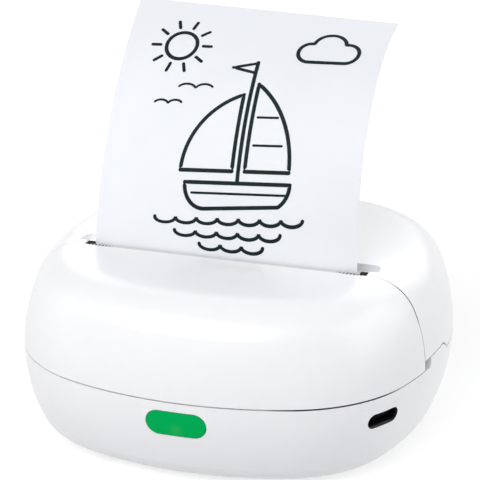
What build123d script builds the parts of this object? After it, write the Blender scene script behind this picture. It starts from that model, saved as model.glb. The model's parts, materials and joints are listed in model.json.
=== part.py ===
from build123d import *
from math import acos, atan2, cos, degrees, hypot, pi, radians, sin, sqrt, tan
import os

os.makedirs("parts", exist_ok=True)

# Portable thermal printer with a hinged rear lid. Millimetres, +X right, +Y back, +Z up.
# The origin lies on the table, under the middle of the body. The paper leaves upwards.

# Body form: one smooth pebble, arcs in plan and arcs in profile
body_size = 90.0
body_height = 38.0
foot_stand = 0.6
side_bow = 16.6
corner_radius = 29.6
girth_height = 18.5
shoulder_inset = 12.3
shoulder_radius = 10.4
belly_inset = 9.0
belly_radius = 6.3
wall = 2.0
room_gap = 0.4
seam_gap = 0.3
lip_thickness = 1.2
lip_rise = 1.6
lip_root = 3.0

# Lid, slot and ledge
lid_seam_y = -13.55
slot_length = 61.4
slot_width = 2.3
ledge_length = 65.2
ledge_depth = 4.1
ledge_drop = 1.4
ledge_corner = 2.2
ledge_wall = 1.0
guide_width = 1.6
guide_gap = 0.1
guide_below_top = 0.2
guide_foot = 1.5
slot_pad_thickness = 2.0
slot_pad_depth = 11.3
slot_pad_cover = 0.5
finger_notch_length = 14.0
finger_notch_flat = 10.0
finger_notch_rise = 2.1
finger_hole = 3.4
finger_scoop_radius = 1.4
notch_overlap = 0.5
side_cut = 8.0
cut_over = 1.0

# Hinge
hinge_back = 2.4
hinge_below_girth = 2.3
barrel_radius = 2.2
barrel_half = 8.7
barrel_root = 1.5
ear_inner = 9.0
ear_outer = 18.7
hinge_pin_half = 13.2
hinge_notch_half = 19.0
hinge_notch_clearance = 0.55
hinge_notch_reach = 5.0
hinge_pin_radius = 0.75
pin_clearance = 0.05
ear_foot = 3.2

# Paper
paper_width = 57.0
paper_thickness = 0.12
paper_behind_seam = 0.65
strip_right_length = 60.7
strip_right_rise = 10.2
strip_right_curl = 35.2
strip_left_length = 56.7
strip_left_lean = 20.0
strip_left_turn = 16.4
strip_left_curl = 76.0
roll_diameter = 28.0
roll_y = 11.0
core_diameter = 12.7
core_wall = 1.3

# Platen and print head
platen_diameter = 9.0
platen_length = 54.0
platen_shaft_radius = 1.5
shaft_end_reach = 1.0
shaft_overhang = 0.2
bushing_overhang = 0.2
platen_z = 26.0
paper_clearance = 0.2
arm_thickness = 1.4
arm_gap = 0.3
arm_end_radius = 3.4
bushing_radius = 2.6
carrier_inset = 0.5
carrier_above_platen = 1.0
carrier_screw_margin = 4.0
carrier_screw_bite = 1.6
carrier_screw_spare = 0.4
head_width = 56.8
head_thickness = 2.0
head_top = 5.0
head_pivot_drop = 8.4
head_pin_radius = 0.8
head_barrel_radius = 1.6
ceramic_thickness = 0.8
ceramic_below = 5.5
ceramic_above = 3.5
ceramic_margin = 2.0
head_spring_length = 4.0
head_spring_radius = 2.0
head_spring_wire = 0.4
head_spring_turns = 4
head_spring_x = 18.0

# Print frame
frame_thickness = 1.0
frame_inner_half = 29.2
frame_back = -3.6
frame_top = 29.5
frame_front_bottom = 19.2
frame_seat_z = 6.1
frame_low_edge = 3.4
flange_depth = 7.0
flange_reach = 10.0
flange_screw_reach = 4.0
cutout_length = 10.0

# Gears: stub teeth of one module, as small print mechanisms have
gear_module = 0.5
pressure_angle = 20.0
addendum = 0.8
dedendum = 1.1
backlash = 0.08
mesh_slack = 0.05
platen_teeth = 20
idler_teeth = 24
compound_small_teeth = 14
compound_big_teeth = 32
pinion_teeth = 12
gear_face_width = 1.8
gear_step = 0.4
gear_pin_radius = 1.0

# Motor
motor_y = -22.0
motor_z = 10.8
motor_radius = 7.5
motor_length = 12.0
motor_shaft_radius = 0.75
motor_screw_circle = 5.5
motor_screw_tilt = 20.0
motor_screw_depth = 2.0
motor_head_height = 0.35
motor_hole_slack = 0.4
rotor_radius = 3.5
rotor_length = 7.0
rotor_start = 2.6
rotor_gap = 0.3

# Roll cradle
cradle_radius = 15.6
cradle_wall = 1.2
cradle_floor_gap = 1.0
cradle_half = 29.0
cradle_front_angle = 238.0
cradle_back_angle = 345.0
cradle_end_top = 17.5
roll_rest_gap = 0.3
cradle_tab_y = 31.5
cradle_tab_x = 20.0
cradle_tab_width = 7.0
cradle_tab_end = 3.0
cradle_foot_half = 3.0
cradle_frame_gap = 0.3

# Button and its board
button_length = 12.6
button_height = 5.3
button_z = 14.4
button_gap = 0.1
button_proud = 0.1
button_travel = 0.5
button_flange_y = -40.8
button_flange_thickness = 0.8
button_flange_rim = 1.0
button_board_y = -37.0
button_board_thickness = 0.8
button_board_half = 11.0
button_board_bottom = 5.5
button_board_top = 19.5
rib_grip = 1.5
rib_wall = 1.2
rib_rise = 4.0
switch_size = 6.0
switch_cap_radius = 1.5
switch_cap_length = 0.6
switch_cap_gap = 0.1
light_size = 0.8
light_rise = 4.2

# Charging port
port_angle = -29.7
port_z = 13.9
port_hole_width = 8.5
port_hole_height = 3.15
port_lip = 1.0
port_mouth_gap = 0.1
port_width = 8.94
port_height = 3.16
port_length = 7.3
port_shell = 0.3
port_back = 0.6
port_gap = 0.15
tongue_short = 1.0
tongue_width = 6.7
tongue_height = 0.7

# Main board and battery
board_thickness = 1.0
board_left = -14.5
board_right = 36.0
board_front = -31.0
board_back = -22.3
board_post_left = (-11.0, -26.5)
board_post_right = (28.0, -25.0)
board_post_radius = 2.0
board_post_gap = 0.4
board_edge_gap = 1.0
connector_inset = 1.0
connector_over = 1.0
connector_depth = 2.2
connector_height = 1.2
# Controller, memory, regulator and coil: spans in X and Y, and height
chips = (
    ((-6.0, 1.0), (-30.5, -27.0), 1.0),
    ((4.0, 9.0), (-30.5, -27.0), 0.9),
    ((12.0, 15.0), (-29.0, -27.0), 1.4),
    ((18.0, 22.0), (-27.6, -24.4), 2.4),
)
ribbon_left = -5.0
ribbon_right = 15.0
ribbon_thickness = 0.15
ribbon_gap = 0.25
ribbon_bend = 2.4
ribbon_rise = 1.0
lead_width = 3.0
lead_thickness = 0.5
lead_bend = 1.6
lead_run = 1.0
lead_rise = 1.5
sensor_length = 3.8
sensor_width = 2.6
sensor_height = 1.6
sensor_inset = 0.4
battery_length = 32.0
battery_width = 10.0
battery_thickness = 6.5
battery_left = -8.0
battery_front = -31.4

# Cover screws, feet and fasteners
cover_post_x = 18.0
cover_post_y = -34.5
cover_post_radius = 3.0
cover_post_top = 18.0
cover_post_gap = 0.1
screw_radius = 1.0
screw_head_radius = 1.9
screw_head_height = 1.2
screw_head_slack = 0.2
cover_screw_sink = 3.0
cover_screw_bite = 6.0
cover_screw_spare = 2.0
small_screw_radius = 0.7
small_head_radius = 1.3
small_head_height = 0.6
small_screw_bite = 4.0
small_screw_spare = 0.5
boss_radius = 2.4
foot_radius = 4.5
foot_thickness = 1.2
foot_x = 22.0
foot_y = 22.0

# Tear bar
tear_pitch = 0.75
tear_tooth = 0.5
tear_depth = 2.4
tear_thickness = 0.5
tear_rim = 0.4
tear_end_gap = 0.3
tear_bare_end = 1.15

# Places worked out from the sizes above
half = body_size / 2
side_radius = (half**2 + side_bow**2) / (2 * side_bow)
side_centre = half - side_radius
reach = side_radius - corner_radius
half_turn = degrees(acos(-side_centre / (reach * sqrt(2)))) - 45
corner_centre = reach * sin(radians(half_turn))
girth_z = foot_stand + girth_height
top_z = foot_stand + body_height
floor_z = foot_stand + wall
cover_edge_y = lid_seam_y - seam_gap / 2
lid_edge_y = lid_seam_y + seam_gap / 2
slot_back_y = lid_seam_y + slot_width
ledge_back_y = slot_back_y + ledge_depth
ledge_z = top_z - ledge_drop

hinge_y = half - hinge_back
hinge_z = girth_z - hinge_below_girth
hinge_notch_z = hinge_z - hinge_back - hinge_notch_clearance

paper_y = lid_seam_y + paper_behind_seam
platen_radius = platen_diameter / 2
platen_y = paper_y + paper_thickness / 2 + paper_clearance + platen_radius
opening_run = hypot(platen_y - hinge_y, platen_z - hinge_z)
opening_dir = ((platen_z - hinge_z) / opening_run, (hinge_y - platen_y) / opening_run)

roll_radius = roll_diameter / 2
cradle_z = floor_z + cradle_floor_gap + cradle_wall + cradle_radius
roll_z = cradle_z - cradle_radius + roll_radius + roll_rest_gap

ceramic_y = paper_y - paper_thickness / 2 - paper_clearance
head_back_y = ceramic_y - ceramic_thickness
head_front_y = head_back_y - head_thickness
head_pivot_y = (head_back_y + head_front_y) / 2
head_pivot_z = platen_z - head_pivot_drop
frame_front_y = head_front_y - head_spring_length - frame_thickness
frame_outer = frame_inner_half + frame_thickness

gear_x = -frame_outer - gear_step
gear_low_x = gear_x - gear_face_width
outer_gear_x = gear_low_x - gear_step
outer_gear_low_x = outer_gear_x - gear_face_width


def mesh_distance(teeth_a, teeth_b):
    """Centre distance of two meshed gears."""
    return gear_module * (teeth_a + teeth_b) / 2 + mesh_slack


def upper_meeting(a, reach_a, b, reach_b):
    """The upper of the two points at the given distances from a and b."""
    span = hypot(b[0] - a[0], b[1] - a[1])
    along = (reach_a**2 - reach_b**2 + span**2) / (2 * span)
    across = sqrt(reach_a**2 - along**2)
    u = ((b[0] - a[0]) / span, (b[1] - a[1]) / span)
    return (a[0] + along * u[0] - across * u[1], a[1] + along * u[1] + across * u[0])


platen_place = (platen_y, platen_z)
idler_run = mesh_distance(platen_teeth, idler_teeth)
idler_place = (platen_y - opening_dir[0] * idler_run, platen_z - opening_dir[1] * idler_run)
motor_place = (motor_y, motor_z)
compound_place = upper_meeting(
    motor_place,
    mesh_distance(pinion_teeth, compound_big_teeth),
    idler_place,
    mesh_distance(compound_small_teeth, idler_teeth),
)


def meshed_phase(place, teeth, phase, other_place, other_teeth):
    """Turn of the other gear, in degrees, that puts its gap on this gear's tooth."""
    line = degrees(atan2(other_place[1] - place[1], other_place[0] - place[0]))
    return line + 180 + (180 - (phase - line) * teeth) / other_teeth


platen_phase = 0.0
idler_phase = meshed_phase(platen_place, platen_teeth, platen_phase, idler_place, idler_teeth)
compound_small_phase = meshed_phase(
    idler_place, idler_teeth, idler_phase, compound_place, compound_small_teeth
)
compound_big_phase = 0.0
pinion_phase = meshed_phase(
    compound_place, compound_big_teeth, compound_big_phase, motor_place, pinion_teeth
)


# Helpers for the shapes that repeat


def block(x, y, z, mode=Mode.ADD):
    """A box between the given spans."""
    with BuildSketch(Plane.XY.offset(z[0])) as foot:
        with Locations(((x[0] + x[1]) / 2, (y[0] + y[1]) / 2)):
            Rectangle(x[1] - x[0], y[1] - y[0])
    extrude(foot.sketch, amount=z[1] - z[0], mode=mode)


def post(place, radius, z, mode=Mode.ADD):
    """An upright round post or hole between two heights."""
    with BuildSketch(Plane.XY.offset(z[0])) as foot:
        with Locations(place):
            Circle(radius)
    extrude(foot.sketch, amount=z[1] - z[0], mode=mode)


def rod(place, radius, x, mode=Mode.ADD):
    """A round rod or bore along X, at a place in Y and Z."""
    with BuildSketch(Plane.YZ.offset(x[0])) as end:
        with Locations(place):
            Circle(radius)
    extrude(end.sketch, amount=x[1] - x[0], mode=mode)


def around(place, radius, angle):
    """A point on a circle about a place in Y and Z."""
    return (place[0] + radius * cos(radians(angle)), place[1] + radius * sin(radians(angle)))


def arc_pair(run, rise, radius):
    """Large radius and its turn, for a large and a small tangent arc over one corner."""
    large = (run**2 + (rise - radius) ** 2 - radius**2) / (2 * (run - radius))
    return large, degrees(atan2(rise - radius, large - run))


def pebble(inset):
    """The body form drawn in by an inset: eight tangent arcs in plan, four in profile."""
    over = body_height - girth_height
    over_large, over_turn = arc_pair(shoulder_inset, over, shoulder_radius)
    under_large, under_turn = arc_pair(belly_inset, girth_height, belly_radius)
    sides = (
        (Vector(side_centre, 0, 0), side_radius, -half_turn, 2 * half_turn),
        (Vector(corner_centre, corner_centre, 0), corner_radius, half_turn, 90 - 2 * half_turn),
    )
    with BuildPart() as form:
        for quarter in range(4):
            for centre, radius, start, turn in sides:
                pivot = centre.rotate(Axis.Z, 90 * quarter)
                angle = radians(90 * quarter + start)
                out = Vector(cos(angle), sin(angle), 0)
                section = Plane(origin=pivot, x_dir=out, z_dir=out.cross(Vector(0, 0, 1)))
                with BuildSketch(section):
                    with BuildLine():
                        CenterArc((radius - over_large, girth_z), over_large - inset, 0, over_turn)
                        shoulder = CenterArc(
                            (radius - shoulder_inset, top_z - shoulder_radius),
                            shoulder_radius - inset,
                            over_turn,
                            90 - over_turn,
                        )
                        belly = CenterArc(
                            (radius - belly_inset, foot_stand + belly_radius),
                            belly_radius - inset,
                            -90,
                            90 - under_turn,
                        )
                        CenterArc(
                            (radius - under_large, girth_z), under_large - inset, -under_turn, under_turn
                        )
                        Polyline(
                            shoulder @ 1, (0, top_z - inset), (0, foot_stand + inset), belly @ 0
                        )
                    make_face()
                revolve(axis=Axis(pivot, (0, 0, 1)), revolution_arc=turn)
    return form.part


def gear_outline(teeth, phase):
    """Outline of a gear, its flanks arcs through three points of the involute."""
    pitch = gear_module * teeth / 2
    base = pitch * cos(radians(pressure_angle))
    tip = pitch + addendum * gear_module
    root = pitch - dedendum * gear_module
    start = max(base, root)

    def half_angle(radius):
        slope = acos(min(1.0, base / radius))
        slope_pitch = radians(pressure_angle)
        flank = (tan(slope_pitch) - slope_pitch) - (tan(slope) - slope)
        return degrees(pi / (2 * teeth) - backlash / (2 * pitch) + flank)

    def at(radius, angle):
        return (radius * cos(radians(angle)), radius * sin(radians(angle)))

    middle = (start + tip) / 2
    with BuildSketch() as outline:
        with BuildLine():
            for tooth in range(teeth):
                mid = phase + 360 * tooth / teeth
                far = mid + 360 / teeth - half_angle(start)
                low, high = mid - half_angle(start), mid + half_angle(start)
                if start > root:
                    Line(at(root, low), at(start, low))
                    Line(at(start, high), at(root, high))
                ThreePointArc(
                    at(start, low), at(middle, mid - half_angle(middle)), at(tip, mid - half_angle(tip))
                )
                ThreePointArc(at(tip, mid - half_angle(tip)), at(tip, mid), at(tip, mid + half_angle(tip)))
                ThreePointArc(
                    at(tip, mid + half_angle(tip)), at(middle, mid + half_angle(middle)), at(start, high)
                )
                ThreePointArc(at(root, high), at(root, (high + far) / 2), at(root, far))
        make_face()
    return outline.sketch


def gear_at(place, teeth, phase, x):
    """A gear between two stations along X, at a place in Y and Z."""
    plane = Plane(origin=(x[0], place[0], place[1]), x_dir=(0, 1, 0), z_dir=(1, 0, 0))
    extrude(plane * gear_outline(teeth, phase), amount=x[1] - x[0])


def spring_tube(start, end, radius, wire, turns):
    """A compression spring from start to end along Y, its coil of tangent arcs, two a half turn."""
    length = end[1] - start[1]
    quarter = pi / 2
    rise = (length - wire) / turns
    slope = rise / (2 * pi)

    def point(angle):
        climb = wire / 2 + slope * angle
        return Vector(start[0] + radius * cos(angle), start[1] + climb, start[2] + radius * sin(angle))

    def heading(angle):
        return Vector(-radius * sin(angle), slope, radius * cos(angle)).normalized()

    with BuildPart() as spring:
        with BuildLine() as path:
            for step in range(4 * turns):
                a, b = point(step * quarter), point((step + 1) * quarter)
                da, db = heading(step * quarter), heading((step + 1) * quarter)
                both = da + db
                across = b - a
                square = 2 * (da.dot(db) - 1)
                linear = -2 * across.dot(both)
                leg = (-linear - sqrt(linear**2 - 4 * square * across.dot(across))) / (2 * square)
                leg = abs(leg)
                joint = (a + da * leg + b - db * leg) / 2
                TangentArc(a, joint, tangent=da)
                TangentArc(joint, b, tangent=(b - db * leg) - (a + da * leg))
        with BuildSketch(Plane(origin=point(0), z_dir=heading(0))):
            Circle(wire / 2)
        sweep()
    return spring.part


def cap_screw(place, seat_z, length, up):
    """A round-headed screw; up says that its head is on top."""
    way = 1 if up else -1
    heads = sorted((seat_z, seat_z + way * small_head_height))
    shanks = sorted((seat_z, seat_z - way * length))
    post(place, small_head_radius, heads)
    post(place, small_screw_radius, shanks)


def port_plane(distance):
    """Upright plane square to the port's axis, its height at the port's middle."""
    angle = radians(port_angle)
    out = Vector(cos(angle), sin(angle), 0)
    corner = Vector(corner_centre, -corner_centre, port_z)
    return Plane(origin=corner + out * distance, x_dir=(-out.Y, out.X, 0), z_dir=out)


outer_form = pebble(0)
inner_form = pebble(wall)
room_form = pebble(wall + room_gap)
lip_outer_form = pebble(wall + seam_gap)
lip_inner_form = pebble(wall + seam_gap + lip_thickness)


def notch_outline(side, front, gap):
    """The finger notch's outline on one side of the body, drawn in by a gap."""
    end = lid_edge_y + finger_notch_flat
    top = notch_top - gap
    back = end + sqrt((notch_radius - gap) ** 2 - (notch_low - notch_top + notch_radius) ** 2)
    with BuildSketch(Plane.YZ.offset(min(side * (half - side_cut), side * (half + cut_over)))) as outline:
        with BuildLine():
            Polyline((back, notch_low), (front, notch_low), (front, top), (end, top))
            TangentArc((end, top), (back, notch_low), tangent=(1, 0))
        make_face()
    return outline.sketch


# Lands: the base rises behind each finger notch, with a scoop at its front end
notch_low = girth_z - seam_gap / 2 - notch_overlap
notch_top = girth_z + seam_gap / 2 + finger_notch_rise
notch_slope = finger_notch_length - finger_notch_flat
notch_radius = (notch_slope**2 + finger_notch_rise**2) / (2 * finger_notch_rise)
scoop_place = (cover_edge_y + finger_hole - finger_scoop_radius, girth_z + finger_notch_rise / 2)
land_front = scoop_place[0] + sqrt(finger_scoop_radius**2 - (finger_notch_rise / 2) ** 2)

with BuildPart() as notch_lands:
    for side in (-1, 1):
        extrude(notch_outline(side, land_front, seam_gap), amount=side_cut + cut_over)
    rod(scoop_place, finger_scoop_radius, (-half, half), Mode.SUBTRACT)
    add(outer_form, mode=Mode.INTERSECT)
    add(lip_inner_form, mode=Mode.SUBTRACT)

# Base shell: floor, lip, lands, hinge ears, posts and openings
port_mouth = corner_radius - port_lip - port_mouth_gap
frame_screw_x = frame_inner_half - flange_screw_reach
frame_screw_y = frame_back - flange_depth / 2
board_seat_z = port_z - port_height / 2 - board_thickness
cradle_seat_z = frame_seat_z
post_root_z = floor_z - wall / 4
cover_head_z = floor_z + cover_screw_sink

with BuildPart() as base_cup:
    add(outer_form)
    add(inner_form, mode=Mode.SUBTRACT)
    split(bisect_by=Plane.XY.offset(girth_z - seam_gap / 2), keep=Keep.BOTTOM)

with BuildPart() as lip_ring:
    add(lip_outer_form)
    add(lip_inner_form, mode=Mode.SUBTRACT)
    split(bisect_by=Plane.XY.offset(girth_z + lip_rise), keep=Keep.BOTTOM)
    split(bisect_by=Plane.XY.offset(girth_z - lip_root), keep=Keep.TOP)

with BuildPart() as lip_foot:
    add(outer_form)
    add(lip_inner_form, mode=Mode.SUBTRACT)
    split(bisect_by=Plane.XY.offset(girth_z - seam_gap / 2), keep=Keep.BOTTOM)
    split(bisect_by=Plane.XY.offset(girth_z - lip_root), keep=Keep.TOP)

with BuildPart() as base_shell:
    add(base_cup.part)
    add(lip_foot.part)
    add(lip_ring.part)
    add(notch_lands.part)
    # Hinge notch, with an ear at each end that takes the pin
    block(
        (-hinge_notch_half, hinge_notch_half),
        (hinge_y - hinge_notch_reach, half + cut_over),
        (hinge_notch_z, girth_z + lip_rise + cut_over),
        Mode.SUBTRACT,
    )
    for side in (-1, 1):
        ear = sorted((side * ear_inner, side * ear_outer))
        rod((hinge_y, hinge_z), barrel_radius, ear)
        block(ear, (hinge_y - barrel_radius, hinge_y), (hinge_notch_z - ear_foot, hinge_z))
    rod((hinge_y, hinge_z), hinge_pin_radius, (-hinge_pin_half, hinge_pin_half), Mode.SUBTRACT)
    # Posts for the front cover, the print frame, the cradle and the main board
    for side in (-1, 1):
        post((side * cover_post_x, cover_post_y), cover_post_radius, (post_root_z, cover_post_top))
        post((side * frame_screw_x, frame_screw_y), boss_radius, (post_root_z, frame_seat_z))
        post((side * cradle_tab_x, cradle_tab_y), boss_radius, (post_root_z, cradle_seat_z))
    for place in (board_post_left, board_post_right):
        post(place, board_post_radius, (post_root_z, board_seat_z))
    # Ribs with a groove that hold the button board upright
    for side in (-1, 1):
        x = sorted((side * (button_board_half - rib_grip), side * (button_board_half + rib_wall)))
        y = (button_board_y - rib_wall, button_board_y + button_board_thickness + rib_wall)
        block(x, y, (post_root_z, button_board_bottom + rib_rise))
    add(outer_form, mode=Mode.INTERSECT)
    block(
        (-button_board_half, button_board_half),
        (button_board_y, button_board_y + button_board_thickness),
        (button_board_bottom, button_board_top),
        Mode.SUBTRACT,
    )
    # Screw ways, from below for the cover and blind from above for the rest
    for side in (-1, 1):
        place = (side * cover_post_x, cover_post_y)
        post(place, screw_radius, (0, cover_post_top), Mode.SUBTRACT)
        post(place, screw_head_radius + screw_head_slack, (0, cover_head_z), Mode.SUBTRACT)
        place = (side * frame_screw_x, frame_screw_y)
        post(place, small_screw_radius, (floor_z, frame_seat_z), Mode.SUBTRACT)
        place = (side * cradle_tab_x, cradle_tab_y)
        post(place, small_screw_radius, (floor_z, cradle_seat_z), Mode.SUBTRACT)
    for place in (board_post_left, board_post_right):
        post(place, small_screw_radius, (board_seat_z - small_screw_bite, board_seat_z), Mode.SUBTRACT)
    # Foot recesses
    for x in (-foot_x, foot_x):
        for y in (-foot_y, foot_y):
            post((x, y), foot_radius, (0, foot_thickness), Mode.SUBTRACT)
    # Button and port openings
    with BuildSketch(Plane.XZ.offset(half - side_cut)):
        with Locations((0, button_z)):
            SlotOverall(button_length + 2 * button_gap, button_height + 2 * button_gap)
    extrude(amount=side_cut + cut_over, mode=Mode.SUBTRACT)
    with BuildSketch(port_plane(corner_radius - side_cut)):
        SlotOverall(port_width + 2 * port_gap, port_height + 2 * port_gap)
    extrude(amount=side_cut - port_lip, mode=Mode.SUBTRACT)
    with BuildSketch(port_plane(corner_radius - side_cut)):
        SlotOverall(port_hole_width, port_hole_height)
    extrude(amount=side_cut + cut_over, mode=Mode.SUBTRACT)
base_shell.part.label = "base_shell"

# Front cover: the part ahead of the slot, with two screw bosses and the tear bar's groove
tear_z = top_z - tear_thickness
tear_half = slot_length / 2 - tear_end_gap
cover_hole_end = cover_post_top + cover_screw_bite + cover_screw_spare

with BuildPart() as front_cover:
    add(outer_form)
    add(inner_form, mode=Mode.SUBTRACT)
    split(bisect_by=Plane.XY.offset(girth_z + seam_gap / 2), keep=Keep.TOP)
    split(bisect_by=Plane.XZ.offset(-cover_edge_y), keep=Keep.TOP)
    for side in (-1, 1):
        place = (side * cover_post_x, cover_post_y)
        post(place, cover_post_radius, (cover_post_top + cover_post_gap, top_z - wall / 2))
    add(outer_form, mode=Mode.INTERSECT)
    for side in (-1, 1):
        place = (side * cover_post_x, cover_post_y)
        post(place, screw_radius, (cover_post_top, cover_hole_end), Mode.SUBTRACT)
    x = (-tear_half, tear_half)
    block(x, (cover_edge_y - tear_depth, cover_edge_y), (tear_z - tear_thickness, tear_z), Mode.SUBTRACT)
    block(x, (cover_edge_y - tear_rim, cover_edge_y), (tear_z, top_z + cut_over), Mode.SUBTRACT)
front_cover.part.label = "front_cover"

# Tear bar: a tongue in the cover's groove and a rim flush with its top, with a row of points
tooth_count = int(2 * (tear_half - tear_bare_end) / tear_pitch)
with BuildPart() as tear_bar:
    with BuildSketch(Plane.XY.offset(tear_z)):
        with BuildLine():
            for tooth in range(tooth_count):
                left = (tooth - tooth_count / 2) * tear_pitch
                point = (left + tear_pitch / 2, cover_edge_y + tear_tooth)
                Line((left, cover_edge_y), point)
                Line(point, (left + tear_pitch, cover_edge_y))
            end = tooth_count / 2 * tear_pitch
            Polyline(
                (end, cover_edge_y),
                (tear_half, cover_edge_y),
                (tear_half, cover_edge_y - tear_rim),
                (-tear_half, cover_edge_y - tear_rim),
                (-tear_half, cover_edge_y),
                (-end, cover_edge_y),
            )
        make_face()
    extrude(amount=tear_thickness)
    y = (cover_edge_y - tear_depth, cover_edge_y)
    block((-tear_half, tear_half), y, (tear_z - tear_thickness, tear_z))
tear_bar.part.label = "tear_bar"

# Rear lid: shell, slot, ledge, finger notches and hinge barrel
carrier_back = slot_back_y + slot_pad_depth - carrier_inset
carrier_screw_y = carrier_back - carrier_screw_margin
with BuildPart() as rear_lid:
    add(outer_form)
    add(inner_form, mode=Mode.SUBTRACT)
    split(bisect_by=Plane.XY.offset(girth_z + seam_gap / 2), keep=Keep.TOP)
    split(bisect_by=Plane.XZ.offset(-lid_edge_y), keep=Keep.BOTTOM)
    pad_low = ledge_z - slot_pad_thickness
    pad_x = (-ledge_length / 2, ledge_length / 2)
    block(pad_x, (slot_back_y, slot_back_y + slot_pad_depth), (pad_low, top_z - wall))
    block(pad_x, (slot_back_y, ledge_back_y + ledge_wall), (pad_low, top_z - slot_pad_cover))
    slot_x = (-slot_length / 2, slot_length / 2)
    slot_z = (pad_low - cut_over, top_z + cut_over)
    block(slot_x, (lid_edge_y - cut_over, slot_back_y), slot_z, Mode.SUBTRACT)
    with BuildSketch(Plane.XY.offset(ledge_z)) as ledge:
        with Locations((0, (slot_back_y + ledge_back_y) / 2)):
            Rectangle(ledge_length, ledge_depth)
        fillet(ledge.vertices().group_by(Axis.Y)[-1], ledge_corner)
    extrude(amount=ledge_drop + cut_over, mode=Mode.SUBTRACT)
    for side in (-1, 1):
        extrude(notch_outline(side, lid_edge_y - cut_over, 0), amount=side_cut + cut_over, mode=Mode.SUBTRACT)
    rod((hinge_y, hinge_z), barrel_radius, (-barrel_half, barrel_half))
    block((-barrel_half, barrel_half), (hinge_y - barrel_radius, half), (hinge_z, girth_z + barrel_root))
    add(outer_form, mode=Mode.INTERSECT)
    bore = hinge_pin_radius + pin_clearance
    rod((hinge_y, hinge_z), bore, (-barrel_half, barrel_half), Mode.SUBTRACT)
    for side in (-1, 1):
        place = (side * cradle_tab_x, carrier_screw_y)
        post(place, small_screw_radius, (pad_low, pad_low + carrier_screw_bite), Mode.SUBTRACT)
rear_lid.part.label = "rear_lid"

with BuildPart() as hinge_pin:
    rod((hinge_y, hinge_z), hinge_pin_radius, (-hinge_pin_half, hinge_pin_half))
hinge_pin.part.label = "hinge_pin"

# Feet and base screws
with BuildPart() as rubber_feet:
    for x in (-foot_x, foot_x):
        for y in (-foot_y, foot_y):
            post((x, y), foot_radius, (0, foot_thickness))
rubber_feet.part.label = "rubber_feet"

with BuildPart() as cover_screws:
    for side in (-1, 1):
        place = (side * cover_post_x, cover_post_y)
        post(place, screw_head_radius, (cover_head_z - screw_head_height, cover_head_z))
        post(place, screw_radius, (cover_head_z, cover_post_top + cover_screw_bite))
cover_screws.part.label = "cover_screws"

# Print frame: two side walls, a front wall and two screw flanges
motor_screws_at = [
    around(motor_place, motor_screw_circle, quarter + motor_screw_tilt)
    for quarter in (90, 270)
]
cutout_radius = bushing_radius + arm_gap
with BuildPart() as print_frame:
    for side in (-1, 1):
        x = sorted((side * frame_inner_half, side * frame_outer))
        block(x, (frame_front_y, frame_back), (frame_low_edge, frame_top))
        flange = sorted((side * (frame_inner_half - flange_reach), side * frame_outer))
        y = (frame_back - flange_depth, frame_back)
        block(flange, y, (frame_seat_z, frame_seat_z + frame_thickness))
    left_wall = (-frame_outer, -frame_inner_half)
    block(left_wall, (motor_y - motor_radius, frame_front_y), (frame_low_edge, frame_front_bottom))
    y = (frame_front_y, frame_front_y + frame_thickness)
    block((-frame_outer, frame_outer), y, (frame_front_bottom, frame_top))
    add(room_form, mode=Mode.INTERSECT)
    for side in (-1, 1):
        x = sorted((side * (frame_inner_half - cut_over), side * (frame_outer + cut_over)))
        rod(platen_place, cutout_radius, x, Mode.SUBTRACT)
        up = (platen_y + opening_dir[0] * cutout_length / 2, platen_z + opening_dir[1] * cutout_length / 2)
        slant = Location((up[0], up[1], 0), (0, 0, degrees(atan2(opening_dir[1], opening_dir[0]))))
        with BuildSketch(Plane.YZ.offset(x[0])):
            with Locations(slant):
                Rectangle(cutout_length, 2 * cutout_radius)
        extrude(amount=x[1] - x[0], mode=Mode.SUBTRACT)
        hole_z = (0, frame_seat_z + frame_thickness + cut_over)
        post((side * frame_screw_x, frame_screw_y), small_screw_radius, hole_z, Mode.SUBTRACT)
    rod((head_pivot_y, head_pivot_z), head_pin_radius, (-frame_outer, frame_outer), Mode.SUBTRACT)
    for place in (idler_place, compound_place):
        rod(place, gear_pin_radius, left_wall, Mode.SUBTRACT)
    rod(motor_place, motor_shaft_radius + motor_hole_slack, left_wall, Mode.SUBTRACT)
    for place in motor_screws_at:
        rod(place, small_screw_radius, left_wall, Mode.SUBTRACT)
print_frame.part.label = "print_frame"

with BuildPart() as head_pin:
    rod((head_pivot_y, head_pivot_z), head_pin_radius, (-frame_outer, frame_outer))
head_pin.part.label = "head_pin"

# Print head: heat sink with a rolled barrel, and the ceramic plate on its back
with BuildPart() as head_plate:
    half_head = head_width / 2
    block((-half_head, half_head), (head_front_y, head_back_y), (head_pivot_z, platen_z + head_top))
    rod((head_pivot_y, head_pivot_z), head_barrel_radius, (-half_head, half_head))
    bore = head_pin_radius + pin_clearance
    rod((head_pivot_y, head_pivot_z), bore, (-half_head, half_head), Mode.SUBTRACT)
head_plate.part.label = "head_plate"

with BuildPart() as head_ceramic:
    x = (ceramic_margin - half_head, half_head - ceramic_margin)
    block(x, (head_back_y, ceramic_y), (platen_z - ceramic_below, platen_z + ceramic_above))
head_ceramic.part.label = "head_ceramic"

with BuildPart() as head_springs:
    spring_start = frame_front_y + frame_thickness
    for side in (-1, 1):
        start = (side * head_spring_x, spring_start, platen_z)
        end = (side * head_spring_x, head_front_y, platen_z)
        add(spring_tube(start, end, head_spring_radius, head_spring_wire, head_spring_turns))
head_springs.part.label = "head_springs"
coil_gap = (head_spring_length - head_spring_wire) / head_spring_turns - head_spring_wire
print("head spring: gap between curls", round(coil_gap, 2), "mm")

# Platen: shaft, rubber sleeve, gear and bushings
shaft_right = frame_outer + shaft_end_reach
with BuildPart() as platen_shaft:
    rod(platen_place, platen_shaft_radius, (gear_low_x - shaft_overhang, shaft_right))
platen_shaft.part.label = "platen_shaft"

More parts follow.
